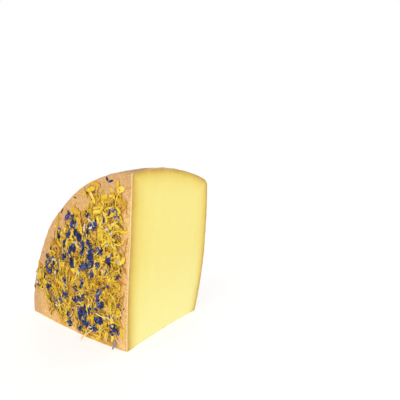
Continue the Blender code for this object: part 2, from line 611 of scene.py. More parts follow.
def build_rind():
    end = cut_angle(section.real)
    outer_shares = spaced(TURN_CELLS, CROWDED, CROWDED)
    angles = end[:, None] * outer_shares
    true_points = turned(section[:, None], angles)
    to_cut = section.real[:, None] * np.minimum(angles, end[:, None] - angles)
    raised = rind_relief(true_points) - rounding(to_cut)
    outer_line = section[:, None] + section_normals[:, None] * raised
    outer = turned(outer_line, angles)

    inner_line = section - section_normals * RIND_THICKNESS
    inner_angles = cut_angle(inner_line.real)[:, None] * np.linspace(0, 1, INNER_CELLS + 1)
    inner = turned(inner_line[:, None], inner_angles)

    rows = len(section)
    outer_columns = TURN_CELLS + 1
    inner_columns = INNER_CELLS + 1
    inner_first = rows * outer_columns
    faces = [grid_faces(rows, outer_columns, flip=True)]
    faces.append(grid_faces(rows, inner_columns, inner_first))
    row = np.arange(rows - 1)
    for outer_column, inner_column, flip in ((0, 0, True), (TURN_CELLS, INNER_CELLS, False)):
        a = row * outer_columns + outer_column
        b = inner_first + row * inner_columns + inner_column
        strip = np.stack([a, a + outer_columns, b + inner_columns, b], axis=-1)
        faces.append(strip[:, ::-1] if flip else strip)

    on_face = np.abs(section_normals.imag)[:, None]
    side = np.where(np.arange(rows) <= (front_edge + back_edge) / 2, FRONT, BACK)[:, None]
    front_share = coat_share(outer[..., 0], outer[..., 2], FRONT)
    back_share = coat_share(outer[..., 0], outer[..., 2], BACK)
    coat = np.where(side == FRONT, front_share, back_share) * soft_step(on_face, 0.8, 1.0)
    to_rim = WHEEL_RADIUS - section.real[:, None]
    # Painted shade in part: the bare border of a flat face gets darker towards the rim.
    near_rim = 1 - soft_step(to_rim + 4 * MM * unevenness(true_points, 25 * MM, seed=6), 2 * MM, 32 * MM)
    on_rim_share = 1 - soft_step(on_face, 0.1, 0.9)
    shares = {
        # Painted highlight along the rounded edge at the cuts.
        "scraped": (1 - np.minimum(to_cut / EDGE_HIGHLIGHT_WIDTH, 1)) * (0.15 + 0.85 * on_face**2),
        # Stain under the petals: partly dye, partly painted shade between them.
        "coat": STAIN_AND_GAP_SHADE * coat,
        # The rim's browner colour, partly painted shade, also over the bare border near the rim.
        "rim": RIM_BROWN_AND_SHADE * np.maximum(on_rim_share, BORDER_BROWN_AND_SHADE * near_rim),
        "bloom": BLOOMED * on_rim_share + 0 * to_cut,
    }
    nothing = np.zeros(inner.shape[0] * inner.shape[1])
    numbers = {label: np.concatenate([share.ravel(), nothing]) for label, share in shares.items()}
    points = np.concatenate([outer.reshape(-1, 3), inner.reshape(-1, 3)])
    points, faces, numbers = welded(points, np.concatenate(faces).tolist(), numbers)
    return new_piece("rind", points, faces, rind_finish, numbers)


rind = build_rind()
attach(rind, "root")
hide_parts("cheese_wedge")
print("rind:", len(rind.data.polygons), "faces")

# %% [markdown]
# ## Build the paste
#
# What is inside the rind is one solid with two cut faces. Each cut face is bounded by four lines:
# the two flat faces' lines, the rim's line and the axle. A Coons patch fills such a frame with an
# even net of points, and it's the usual way to skin four curves. The knife's drag leaves soft
# ridges a tenth of a millimetre high, and on the level cut it rode up a little between the two
# flat faces, so the cheese stands on the edges of that cut.

# %% Build the paste
PASTE_CLEARANCE = 0.03 * MM
DRAG_HEIGHT = 0.10 * MM
RIDE_UP = 1.5 * MM
RIDE_UP_REACH = 30 * MM  # how high above the table the cut faces still follow it


def patch_inside(outline):
    """A net of points inside the section's outline: rows go out from the axle, columns across."""
    left = outline[: front_edge + 1]
    top = outline[front_edge : back_edge + 1]
    right = outline[back_edge:][::-1]
    across = spaced(RIM_CELLS, CROWDED, CROWDED)
    up = spaced(FACE_CELLS, 1, CROWDED)[:, None]
    bottom = left[0] + (right[0] - left[0]) * across
    between_sides = left[:, None] * (1 - across) + right[:, None] * across
    between_ends = bottom * (1 - up) + top * up
    low_corners = left[0] * (1 - across) + right[0] * across
    high_corners = left[-1] * (1 - across) + right[-1] * across
    return between_sides + between_ends - low_corners * (1 - up) - high_corners * up


def distance_to_rind(points):
    """The shortest way from points in the section's plane to the rind."""
    nearest = [np.abs(points - spot) for spot in section[::2]]
    return np.min(nearest, axis=0)


def ridden_up(points, depth):
    """The same points where the knife rode up: highest in the middle and nothing at the rind."""
    middle = 1 - np.clip(2 * points[..., 1] / WHEEL_HEIGHT, -1, 1) ** 2
    share = soft_step(depth, 0, 12) * middle * np.clip(1 - points[..., 2] / RIDE_UP_REACH, 0, 1) ** 2
    return points + np.stack([0 * share, 0 * share, RIDE_UP * share], axis=-1)


def build_paste():
    outline = section - section_normals * (RIND_THICKNESS + PASTE_CLEARANCE)
    outline = np.maximum(outline.real, 0) + 1j * outline.imag
    net = patch_inside(outline)
    depth = (distance_to_rind(net) - RIND_THICKNESS) / MM
    level = turned(net, np.zeros(net.shape))
    upright = turned(net, cut_angle(net.real))

    inside = soft_step(depth, 0, 4)
    drag = unevenness(upright * [1, 1, 0.12], 9 * MM, seed=8)
    upright[..., 0] += DRAG_HEIGHT * inside * drag
    hollow = 1 + unevenness(level * [0.12, 1, 1], 9 * MM, seed=9)
    level[..., 2] += DRAG_HEIGHT * inside * np.maximum(hollow, 0)
    level[0] = upright[0]
    level = ridden_up(level, depth)
    upright = ridden_up(upright, depth)

    wall_angles = cut_angle(outline.real)[:, None] * np.linspace(0, 1, INNER_CELLS + 1)
    wall = turned(outline[:, None], wall_angles)
    rows, columns = net.shape
    count = rows * columns
    faces = [
        grid_faces(rows, columns, 0, flip=True),
        grid_faces(rows, columns, count),
        grid_faces(len(outline), INNER_CELLS + 1, 2 * count, flip=True),
    ]
    points = np.concatenate([level.reshape(-1, 3), upright.reshape(-1, 3), wall.reshape(-1, 3)])
    wall_depth = np.zeros(wall.shape[:2])
    numbers = {"depth": np.concatenate([depth.ravel(), depth.ravel(), wall_depth.ravel()])}
    points, faces, numbers = welded(points, np.concatenate(faces).tolist(), numbers)
    return new_piece("paste", points, faces, paste_finish, numbers)


paste = build_paste()
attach(paste, "root")
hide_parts("cheese_wedge")
print("paste:", len(paste.data.polygons), "faces")

# %% [markdown]
# ## Dried petals
#
# A marigold's ray petal is a strap. Dried, it's a stiff, papery ribbon: its long edges curl in, it
# twists, and it bends along its length. A cornflower's floret is a trumpet that ends in a few
# pointed lobes, and it dries to a spray of thin dark blue strips that fan out from one foot. The
# flowers' bases crumble to small dark bits, and bleached scraps and pale straws lie between them.
#
# All of these are ribbons of different sizes, so one recipe makes them all, and a small table of
# kinds says how long, wide, bent, curled and twisted each one is.

# %% The kinds of scraps
@dataclass
class Kind:
    """How one kind of scrap is shaped. Sizes are in metres, angles in radians."""

    name: str
    slot: str
    length: tuple  # shortest and longest
    width: tuple
    thickness: float
    bend: float  # how far it turns from end to end, at most
    curl: float  # how far its long edges rise, as a share of half its width
    twist: float  # how far it rolls over from end to end, at most
    lift: float  # how far a free end may stand up
    steps: int
    columns: int
    blunt: float  # share of the length after which it narrows to its tip


KINDS = [
    Kind("broad_petals", "marigold_petals", (7 * MM, 11 * MM), (3.2 * MM, 4.6 * MM),
         0.20 * MM, 0.5, 0.22, 0.3, 0.5 * MM, 9, 5, 0.70),
    Kind("marigold_petals", "marigold_petals", (8 * MM, 14 * MM), (1.5 * MM, 2.9 * MM),
         0.20 * MM, 0.7, 0.30, 0.6, 0.7 * MM, 9, 5, 0.86),
    Kind("marigold_shreds", "marigold_petals", (7 * MM, 16 * MM), (0.6 * MM, 1.3 * MM),
         0.22 * MM, 1.7, 0.30, 1.0, 0.9 * MM, 9, 3, 0.82),
    Kind("marigold_crumbs", "marigold_petals", (1.6 * MM, 4.5 * MM), (0.7 * MM, 1.6 * MM),
         0.30 * MM, 1.2, 0.35, 1.0, 0.3 * MM, 3, 3, 0.50),
    Kind("cornflower_florets", "cornflower_petals", (3.0 * MM, 6.5 * MM), (1.0 * MM, 2.1 * MM),
         0.22 * MM, 0.9, 0.40, 0.9, 0.8 * MM, 7, 3, 0.55),
    Kind("pale_scraps", "herb_scraps", (4 * MM, 8 * MM), (1.2 * MM, 2.4 * MM),
         0.22 * MM, 1.0, 0.40, 0.8, 0.8 * MM, 7, 3, 0.60),
    Kind("straws", "herb_scraps", (8 * MM, 16 * MM), (0.7 * MM, 1.0 * MM),
         0.5 * MM, 0.8, 0.10, 0.5, 1.0 * MM, 9, 3, 0.75),
    Kind("dark_bits", "herb_scraps", (1.6 * MM, 4.5 * MM), (0.7 * MM, 1.5 * MM),
         0.6 * MM, 0.8, 0.30, 1.2, 0.4 * MM, 4, 3, 0.50),
]
kind_by_name = {kind.name: kind for kind in KINDS}
print("kinds:", ", ".join(kind_by_name))

# %% [markdown]
# ## Beds for the scraps
#
# A scrap lies on what fell before it. To know how high that is, each face of the cheese keeps a
# map of the heap's height in half-millimetre cells, and each new scrap first reads the map and then
# raises it. That is far quicker than a physics simulation of four thousand scraps. The coat was
# pressed on while it was moist, so a heap can't grow past a certain depth: the scraps in it sink
# into each other instead.

# %% Beds
CELL = 0.5 * MM
THINNEST = 0.35


class Bed:
    """A surface that scraps lie on, with a map of how high they have piled up."""

    def __init__(self, name, low, high, place, side=None):
        self.name = name
        self.side = side
        self.low = np.array(low)
        cells = np.ceil((np.array(high) - self.low) / CELL).astype(int)
        self.heap = np.zeros(cells)
        self.place = place

    def cells(self, u, v):
        """The map's cells under these places."""
        column = np.clip(((u - self.low[0]) / CELL).astype(int), 0, self.heap.shape[0] - 1)
        row = np.clip(((v - self.low[1]) / CELL).astype(int), 0, self.heap.shape[1] - 1)
        return column, row

    def read(self, u, v):
        return self.heap[self.cells(u, v)]

    def raise_to(self, u, v, height):
        np.maximum.at(self.heap, self.cells(u, v), height)

    def fullness(self, line):
        """Share of its full depth that the coat can reach along a line: it thins out at its edge."""
        if self.side is None:
            return 1.0
        return THINNEST + (1 - THINNEST) * coat_share(line.real, line.imag, self.side)


front_radii = section.real[: front_edge + 1]
front_heights = section.imag[: front_edge + 1]
rim_radii = section.real[front_edge : back_edge + 1][::-1]
rim_heights = section.imag[front_edge : back_edge + 1][::-1]
back_radii = section.real[back_edge:][::-1]
back_heights = -section.imag[back_edge:][::-1]


def on_front(x, z, height):
    """A point this high above the flowery front face."""
    rise = np.interp(np.hypot(x - AXLE_X, z), front_radii, front_heights)
    rise = rise + rind_relief(np.stack([x, -rise, z], axis=-1))
    return np.stack([x, -rise - height, z], axis=-1)


def on_back(x, z, height):
    """A point this high above the back face."""
    rise = np.interp(np.hypot(x - AXLE_X, z), back_radii, back_heights)
    rise = rise + rind_relief(np.stack([x, rise, z], axis=-1))
    return np.stack([x, rise + height, z], axis=-1)


def on_rim(way, y, height):
    """A point this high above the rim, this way along it from the table."""
    angle = way / WHEEL_RADIUS
    radius = np.interp(-y, rim_heights, rim_radii)
    radius = radius + rind_relief(turned(radius - 1j * y, angle)) + height
    return turned(radius - 1j * y, angle)


RIM_LENGTH = WHEEL_RADIUS * float(cut_angle(np.array(WHEEL_RADIUS)))
face_low, face_high = (wedge_low.x, 0.0), (wedge_high.x, wedge_high.z)
front_bed = Bed("front", face_low, face_high, on_front, FRONT)
back_bed = Bed("back", face_low, face_high, on_back, BACK)
rim_bed = Bed("rim", (0.0, wedge_low.y), (RIM_LENGTH, wedge_high.y), on_rim)
print("beds:", {bed.name: bed.heap.shape for bed in (front_bed, back_bed, rim_bed)})

# %% [markdown]
# ## One scrap
#
# A scrap is drawn flat first: a line that bends, with a width at each step. Then it's laid down. It
# takes the highest point of the heap under each of its steps, and because it's stiff, it can't dip
# sharply between two high points: each step is raised to at least the mean of its neighbours, a
# few times over. Last, its cross-section is curled and rolled, and it's given a lens-shaped
# thickness, so that it's a closed solid with thin edges.

# %% Make one scrap
STIFFNESS = 6
EMBEDDED = 0.15 * MM  # how far the coat is pressed into the rind's bloom
SETTLED = 0.45  # share of its curls' height that a scrap keeps under the ones above it
COAT_DEPTH = 1.7 * MM  # no scrap's underside is higher than this
OFF_THE_TABLE = 0.2 * MM

scraps = {kind.name: [] for kind in KINDS}


def half_widths(kind, width, shares):
    """Half of a scrap's width at each share of its length."""
    base = 0.45 + 0.55 * soft_step(shares, 0, 0.35)
    past = np.clip((shares - kind.blunt) / (1 - kind.blunt), 0, 1)
    return 0.5 * width * base * np.sqrt(np.maximum(1 - past**2, 0.02))


def flat_line(start, heading, length, bend, sway, shares):
    """The places of a bending line and its heading at each of them."""
    headings = heading + bend * (shares - 0.5) + sway * np.sin(2 * math.pi * shares)
    steps = np.diff(shares) * length
    middle = (headings[1:] + headings[:-1]) / 2
    moves = steps * np.exp(1j * middle)
    return start + np.concatenate([[0], np.cumsum(moves)]), headings


def lay(bed, name, start, heading, rng, size=1.0, tint=None, free_end=0.0):
    """Lays one scrap of this kind on a bed, from a starting place and in a heading."""
    kind = kind_by_name[name]
    length = rng.uniform(*kind.length) * size
    width = rng.uniform(*kind.width) * size
    bend = rng.normal() * kind.bend * 0.5
    sway = rng.normal() * kind.bend * 0.2
    curl = kind.curl * rng.uniform(-0.6, 1.0)
    roll_from = rng.normal() * kind.twist * 0.35
    roll_by = rng.normal() * kind.twist * 0.5
    end_lift = kind.lift * rng.uniform(0, 1) ** 3 + free_end
    start_lift = kind.lift * rng.uniform(0, 1) ** 4
    own_tint = rng.uniform()
    shares = np.linspace(0, 1, kind.steps + 1)
    line, headings = flat_line(start, heading, length, bend, sway, shares)
    half = half_widths(kind, width, shares)
    roll = roll_from + roll_by * (shares - 0.5)

    sideways = 1j * np.exp(1j * headings)
    spread = np.array([-0.8, 0.0, 0.8])
    footprint = line[:, None] + sideways[:, None] * (half * np.cos(roll))[:, None] * spread
    rest = bed.read(footprint.real, footprint.imag).max(axis=1)
    for _ in range(STIFFNESS):
        padded = np.concatenate([rest[:1], rest, rest[-1:]])
        rest = np.maximum(rest, (padded[:-2] + padded[2:]) / 2)
    depth = COAT_DEPTH * bed.fullness(line)
    rest = depth * (1 - np.exp(-rest / depth))
    tilt = half * np.abs(np.sin(roll))
    height = rest + tilt * 0.8 + kind.thickness / 2 - EMBEDDED
    height = height + end_lift * shares**2 + start_lift * (1 - shares) ** 2

    across = np.linspace(-1, 1, kind.columns)
    inner = across[1:-1][::-1]
    ring_across = np.concatenate([across, inner])
    under = np.concatenate([np.zeros(kind.columns), 1 - inner**2]) * kind.thickness
    above = np.concatenate([(1 - across**2), np.zeros(len(inner))]) * kind.thickness * 0.5
    a = half[:, None] * ring_across
    b = curl * half[:, None] * (ring_across**2 - 0.3) - under + above
    side_move = a * np.cos(roll)[:, None] - b * np.sin(roll)[:, None]
    lifted = height[:, None] + a * np.sin(roll)[:, None] + b * np.cos(roll)[:, None]
    flat = line[:, None] + sideways[:, None] * side_move

    top = height + (tilt + np.abs(curl) * half) * SETTLED + kind.thickness / 2
    bed.raise_to(footprint.real, footprint.imag, np.repeat(top[:, None], 3, axis=1))
    points = bed.place(flat.real, flat.imag, lifted)
    points[..., 2] += max(0.0, OFF_THE_TABLE - points[..., 2].min())
    shade = own_tint if tint is None else tint
    scraps[name].append({"points": points, "tint": shade, "length": length})


print("one recipe for", len(KINDS), "kinds of scraps")

# %% [markdown]
# ## Strewing
#
# Petals fall anywhere, but a scrap that would hang over a cut is thrown away and thrown again,
# because the knife took it. Scraps lie a little more often level than upright, because the loose
# ones were brushed off sideways.
#
# Cornflowers were strewn by the pinch, so most of their florets lie in dense tufts. Where the
# pinches fell on the front face is a list, because it gives this wedge its look. On the back face
# they fall at random.

# %% Places for the scraps
THROWS = 40
STRAYS = 0.06  # share of the scraps that stick where the rind is otherwise bare
STRAY_KINDS = ("marigold_shreds", "marigold_crumbs", "dark_bits")
KEPT_IN_KINDS = ("cornflower_florets", "pale_scraps", "straws")  # these show best where it's thick
FRONT_PINCHES = [  # distance from the upright cut and height in mm, florets, heading in degrees
    (22, 109, 4, 35), (31, 104, 2, 110), (52, 105, 3, 95), (45, 99, 5, 12), (42, 96, 2, 30),
    (52, 92, 4, 60), (83, 106, 3, 80), (75, 101, 4, 100), (78, 95, 7, 5), (71, 92, 5, 322),
    (66, 88, 5, 322), (62, 85, 4, 322), (97, 95, 1, 80), (97, 86, 3, 110), (80, 86, 6, 95),
    (85, 79, 3, 85), (73, 75, 10, 45), (77, 72, 4, 80), (84, 66, 5, 345), (73, 62, 12, 325),
    (60, 81, 6, 15), (50, 82, 6, 10), (47, 78, 8, 75), (58, 75, 6, 60), (47, 73, 6, 40),
    (49, 66, 11, 50), (53, 63, 8, 20), (41, 65, 8, 10), (57, 60, 7, 15), (36, 77, 5, 355),
    (23, 70, 5, 80), (118, 59, 4, 80), (114, 52, 7, 100), (109, 61, 3, 20), (106, 54, 5, 90),
    (93, 60, 3, 10), (92, 53, 2, 8), (117, 42, 4, 320), (110, 34, 4, 45), (113, 29, 1, 20),
    (82, 43, 5, 15), (66, 40, 3, 10), (54, 50, 2, 90), (55, 44, 2, 90), (30, 43, 3, 85),
    (44, 56, 3, 45), (80, 32, 5, 10), (84, 25, 4, 80), (64, 28, 2, 80), (55, 33, 7, 12),
    (33, 37, 9, 70), (29, 33, 10, 30), (43, 26, 8, 50), (56, 21, 9, 60), (49, 23, 9, 85),
    (49, 14, 8, 330), (43, 13, 6, 330), (74, 12, 3, 12), (69, 17, 1, 70), (72, 6, 2, 12),
    (33, 19, 9, 0), (27, 20, 3, 0), (16, 18, 4, 350), (14, 14, 4, 60), (34, 12, 4, 350),
    (53, 6, 4, 340),
]
PINCH_SPREAD = (2.4 * MM, 1.1 * MM)  # along its heading and across it
FRONT_TUFTS = [  # distance from the upright cut and height in mm, petals, their mean tint
    (27, 92, 18, 0.76), (21, 84, 12, 0.76), (33, 84, 8, 0.72), (24, 103, 9, 0.76), (37, 108, 6, 0.76),
    (22, 76, 6, 0.72), (16, 52, 7, 0.72), (12, 72, 5, 0.76), (82, 20, 8, 0.76), (26, 8, 9, 0.76),
    (66, 55, 5, 0.70), (100, 72, 4, 0.76), (50, 50, 12, 0.18), (43, 46, 7, 0.18), (66, 68, 9, 0.18),
    (34, 54, 5, 0.18), (108, 46, 5, 0.24), (64, 36, 4, 0.24),
]
TUFT_SPREAD = 5 * MM
TINT_SPREAD = 0.22  # how far the petals of one tuft lie from its mean tint at most
LEVEL_LEANING = 0.85
FAN = 0.42  # angle between the lobes of one floret


SEED = 16
PLACES, UNDER, TUFT, PINCH, OVER, BY_HAND = range(6)  # the steps that draw random numbers


def own_rng(bed, step, number=0):
    """A random generator for one step on one bed, so that changing a tuft leaves the rest alone."""
    return np.random.default_rng([SEED, len(bed.name), step, number])


def inside_face(line, half_width):
    """True if a scrap's line stays on its flat face."""
    x, z = line.real, line.imag
    to_cut = (from_cut_to_x(0, z) - x).min()
    to_rim = WHEEL_RADIUS - np.hypot(x - AXLE_X, z).max()
    return to_cut > half_width and z.min() > half_width and to_rim > -1 * MM


def brushed_heading(rng):
    """Any heading, but more often one that is nearly level."""
    heading = rng.uniform(0, 2 * math.pi)
    return math.atan2(math.sin(heading), LEVEL_LEANING * math.cos(heading))


def throw(side, kind, rng):
    """A place and a heading for one scrap, on the coat of a flat face."""
    while True:
        x = rng.uniform(wedge_low.x, wedge_high.x)
        z = rng.uniform(0, wedge_high.z)
        share = float(coat_share(np.array(x), np.array(z), side))
        heading = brushed_heading(rng)
        reach = kind.length[1] / 2 * np.exp(1j * heading)
        place = x + 1j * z
        on_face = inside_face(np.array([place - reach, place, place + reach]), 0.5 * MM)
        if kind.name in STRAY_KINDS:
            share = max(share, STRAYS)
        if kind.name in KEPT_IN_KINDS:
            share = 2 * share - 1
        if on_face and rng.uniform() < share:
            return place, heading


# %% Strew the scraps
STREWN_FIRST = {
    "broad_petals": 36,
    "marigold_petals": 440,
    "marigold_shreds": 620,
    "marigold_crumbs": 420,
    "cornflower_florets": 60,
    "pale_scraps": 80,
    "straws": 30,
    "dark_bits": 150,
}
STREWN_LAST = {
    "broad_petals": 4,
    "marigold_petals": 45,
    "marigold_shreds": 90,
    "marigold_crumbs": 40,
    "cornflower_florets": 36,
    "pale_scraps": 16,
    "straws": 8,
    "dark_bits": 25,
}


def strew(bed, counts, rng):
    """Strews these kinds on a flat face, in mixed order."""
    order = np.concatenate([[name] * count for name, count in counts.items()])
    rng.shuffle(order)
    for name in order:
        kind = kind_by_name[name]
        place, heading = throw(bed.side, kind, rng)
        start = place - 0.5 * np.mean(kind.length) * np.exp(1j * heading)
        lay(bed, name, start, heading, rng)


def lay_floret(bed, foot, heading, rng):
    """Lays one cornflower floret: two to four lobes that fan out from its foot."""
    lobes = rng.integers(2, 5)
    for lobe in range(lobes):
        turn = FAN * (lobe - (lobes - 1) / 2) + rng.normal() * 0.12
        way = np.exp(1j * (heading + turn))
        if inside_face(np.array([foot, foot + 7 * MM * way]), 0.5 * MM):
            lay(bed, "cornflower_florets", foot, heading + turn, rng)


def random_pinches(count, rng):
    """Pinches at random places of the back face's coat."""
    throws = [throw(BACK, kind_by_name["dark_bits"], rng) for _ in range(count)]
    return [(place, int(rng.integers(1, 6)), heading) for place, heading in throws]


def drop_pinches(bed, pinches):
    """Drops pinches of cornflower florets on a flat face."""
    for number, (centre, florets, heading) in enumerate(pinches):
        rng = own_rng(bed, PINCH, number)
        way = np.exp(1j * heading)
        for _ in range(florets):
            aside = PINCH_SPREAD[0] * rng.normal() + 1j * PINCH_SPREAD[1] * rng.normal()
            own_heading = heading + 0.45 * rng.normal() + math.pi * rng.integers(2)
            foot = centre + aside * way - 2.5 * MM * np.exp(1j * own_heading)
            lay_floret(bed, foot, own_heading, rng)


def drop_tufts(bed, tufts):
    """Drops tufts of marigold petals of one flower head, which are alike in colour."""
    for number, (centre, petals, tint) in enumerate(tufts):
        rng = own_rng(bed, TUFT, number)
        for _ in range(petals):
            heading = brushed_heading(rng)
            aside = TUFT_SPREAD * (rng.normal() + 1j * rng.normal())
            start = centre + aside - 4 * MM * np.exp(1j * heading)
            end = start + 9 * MM * np.exp(1j * heading)
            if inside_face(np.array([start, end]), 1 * MM):
                name = rng.choice(["marigold_petals", "marigold_shreds"])
                own_tint = tint + rng.uniform(-TINT_SPREAD, TINT_SPREAD)
                lay(bed, name, start, heading, rng, size=0.8, tint=max(own_tint, 0.0))


def on_front_face(from_cut, height):
    """The place on the front face at this distance from the cut and this height, both in mm."""
    return from_cut_to_x(from_cut * MM, height * MM) + 1j * height * MM


front_pinches = [
    (on_front_face(from_cut, height), florets, math.radians(degrees))
    for from_cut, height, florets, degrees in FRONT_PINCHES
]
front_tufts = [
    (on_front_face(from_cut, height), petals, tint) for from_cut, height, petals, tint in FRONT_TUFTS
]
rng = own_rng(back_bed, PLACES)
back_pinches = random_pinches(60, rng)
back_tufts = [
    (throw(BACK, kind_by_name["dark_bits"], rng)[0], petals, tint) for _, petals, tint in front_tufts
]
for bed, pinches, tufts in (
    (front_bed, front_pinches, front_tufts),
    (back_bed, back_pinches, back_tufts),
):
    strew(bed, STREWN_FIRST, own_rng(bed, UNDER))
    drop_tufts(bed, tufts)
    drop_pinches(bed, pinches)
    strew(bed, STREWN_LAST, own_rng(bed, OVER))
print("scraps:", {name: len(found) for name, found in scraps.items()})

# %% [markdown]
# ## A few scraps laid one by one
#
# Some scraps catch the eye by themselves: broad lemon petals and long straps on the bare rind near
# the top, pale straws that lie across the coat, a floret like a small V near the rim, and two
# scraps that hang out over the table's edge of the face. Chance wouldn't put them there, so each
# has its own line here. Rim strays are thrown at random, most of them near its edges.

# %% Lay the last scraps
LAID_BY_HAND = [  # kind, distance from the cut and height in mm, heading in degrees, size, tint, lift
    ("broad_petals", 16, 126, 14, 1.05, 1.00, 0.3),
    ("broad_petals", 24, 122, -10, 1.00, 0.99, 0.3),
    ("broad_petals", 35, 121, 4, 0.90, 0.76, 0.2),
    ("broad_petals", 16, 114, -38, 0.95, 0.74, 0.4),
    ("marigold_petals", 52, 133, -10, 1.30, 0.46, 0.2),
    ("broad_petals", 61, 129, -58, 0.95, 0.50, 0.3),
    ("marigold_petals", 53, 129, -50, 1.25, 0.98, 0.8),
    ("broad_petals", 78, 112, -22, 1.20, 0.46, 0.3),
    ("broad_petals", 70, 103, -30, 0.90, 0.50, 0.3),
    ("broad_petals", 99, 80, -28, 1.05, 0.46, 0.3),
    ("marigold_petals", 50, 33, -66, 1.10, 0.98, 1.0),
    ("marigold_petals", 37, 75, -42, 1.25, 0.90, 0.5),
    ("straws", 47, 36, -52, 0.90, 0.60, 0.5),
    ("straws", 39, 26, -10, 1.10, 0.95, 0.8),
    ("straws", 27, 23, 4, 0.90, 0.95, 0.6),
    ("straws", 13, 26, 30, 0.85, 0.90, 0.6),
    ("straws", 28, 66, -35, 1.00, 0.60, 0.5),
    ("straws", 24, 91, 25, 0.95, 0.70, 0.6),
    ("marigold_shreds", 17, 95, 12, 1.00, 0.75, 0.4),
    ("marigold_shreds", 17, 86, 14, 0.90, 0.85, 0.4),
    ("marigold_shreds", 16, 64, 20, 0.95, 0.90, 0.4),
    ("marigold_shreds", 14, 37, 48, 1.00, 0.60, 0.4),
    ("marigold_shreds", 19, 32, 55, 1.10, 0.60, 0.4),
    ("marigold_shreds", 20, 52, -25, 0.90, 0.92, 0.4),
    ("pale_scraps", 49, 95, 20, 1.05, 1.00, 0.6),
    ("pale_scraps", 27, 82, 22, 1.05, 0.75, 0.6),
    ("pale_scraps", 62, 52, 76, 1.00, 0.90, 0.5),
    ("pale_scraps", 52, 14, 70, 1.00, 0.80, 0.3),
    ("pale_scraps", 45, 9, 25, 1.00, 0.95, 0.3),
    ("pale_scraps", 66, 10, 100, 0.90, 0.70, 0.3),
    ("straws", 57, 6, 80, 0.75, 0.80, 0.3),
    ("cornflower_florets", 28.5, 138, -62, 1.15, 0.25, 0.2),
    ("cornflower_florets", 26.5, 133, 12, 1.15, 0.25, 0.2),
    ("dark_bits", 95, 106, 60, 1.30, 0.30, 0.2),
    ("straws", 41, 13, -112, 1.15, 0.45, 5.0),
    ("straws", 36, 11, -140, 1.20, 0.60, 4.0),
    ("marigold_shreds", 45, 9, -35, 1.00, 0.75, 2.0),
    ("pale_scraps", 12.5, 7, -74, 1.00, 0.00, 4.0),
]
RIM_COUNTS = {"marigold_shreds": 10, "cornflower_florets": 6, "dark_bits": 8}

for number, (name, from_cut, height, degrees, size, tint, lift) in enumerate(LAID_BY_HAND):
    start = on_front_face(from_cut, height)
    rng = own_rng(front_bed, BY_HAND, number)
    lay(front_bed, name, start, math.radians(degrees), rng, size, tint, lift * MM)

rng = own_rng(rim_bed, PLACES)
for name, count in RIM_COUNTS.items():
    for _ in range(count):
        way = rng.uniform(12 * MM, RIM_LENGTH - 12 * MM)
        edge = rng.choice([wedge_low.y, wedge_high.y])
        y = edge - np.sign(edge) * (6 * MM + rng.exponential(8 * MM))
        lay(rim_bed, name, way + 1j * y, rng.uniform(0, 2 * math.pi), rng, size=0.7)
print("laid by hand:", len(LAID_BY_HAND))

# %% [markdown]
# ## Petal finishes
#
# Dried petals are matt and papery, and thin enough to glow a little. Each kind has a range of
# colours, from the flowers it came from and from how long it has dried, so every scrap has a number
# of its own stored as "tint", which picks its colour from a ramp. Fine veins run along each petal:
# the real ones are 0.3 mm apart and are drawn at 0.6 mm.

# %% Material: dried petals
MARIGOLD_TINTS = [
    (0.00, "#7c5f26"),
    (0.10, "#a0781f"),
    (0.20, "#c28a10"),
    (0.32, "#bf9636"),
    (0.46, "#d69e0c"),
    (0.58, "#cfa83c"),
    (0.72, "#dfb51e"),
    (0.86, "#e2bb3e"),
    (1.00, "#efcb58"),
]
CORNFLOWER_TINTS = [
    (0.00, "#161a2e"),
    (0.30, "#1e2955"),
    (0.62, "#2b3975"),
    (0.85, "#3e4c8a"),
    (1.00, "#6a7194"),
]
PALE_TINTS = [(0.0, "#857f8c"), (0.5, "#b5aa9c"), (1.0, "#d8d1bf")]
STRAW_TINTS = [(0.0, "#cfa850"), (0.5, "#e0c272"), (1.0, "#ead69a")]
DARK_TINTS = [(0.0, "#2a211b"), (0.6, "#4a3a28"), (1.0, "#6a5636")]


def dried_petal(name, tints, glow):
    material, tree, shader = new_material(name)
    tint = add_node(tree, "Attribute", {}, attribute_name="tint")
    length = add_node(tree, "Attribute", {}, attribute_name="along")
    across = add_node(tree, "Attribute", {}, attribute_name="across")
    own = add_node(tree, "Math", {0: tint.outputs["Fac"], 1: 91.7}, operation="MULTIPLY")
    petal_place = add_node(
        tree,
        "CombineXYZ",
        {"X": across.outputs["Fac"], "Y": length.outputs["Fac"], "Z": own.outputs[0]},
    )
    stretched = add_node(
        tree, "VectorMath", {0: petal_place.outputs[0], 1: (1.6, 0.18, 1.0)}, operation="MULTIPLY"
    )
    veins = add_node(tree, "TexNoise", {"Vector": stretched.outputs[0], "Scale": 1.0, "Detail": 2})
    shift = add_node(
        tree,
        "MapRange",
        {"Value": veins.outputs["Fac"], "From Min": 0.3, "From Max": 0.7, "To Min": -0.14, "To Max": 0.14},
    )
    shade = add_node(tree, "Math", {0: tint.outputs["Fac"], 1: shift.outputs[0]}, operation="ADD")
    colour = add_node(tree, "ValToRGB", {"Fac": shade.outputs[0]}, ramp=tints)
    bump = add_node(
        tree, "Bump", {"Height": veins.outputs["Fac"], "Distance": 0.2 * MM, "Strength": 0.5}
    )
    fill_inputs(
        tree,
        shader,
        {
            "Base Color": colour.outputs["Color"],
            "Roughness": 0.72,
            "IOR": 1.45,
            "Specular IOR Level": 0.18,
            "Subsurface Weight": glow,
            "Subsurface Radius": (1.0, 0.6, 0.15),
            "Subsurface Scale": 0.9 * MM,
            "Normal": bump.outputs["Normal"],
        },
    )
    return material


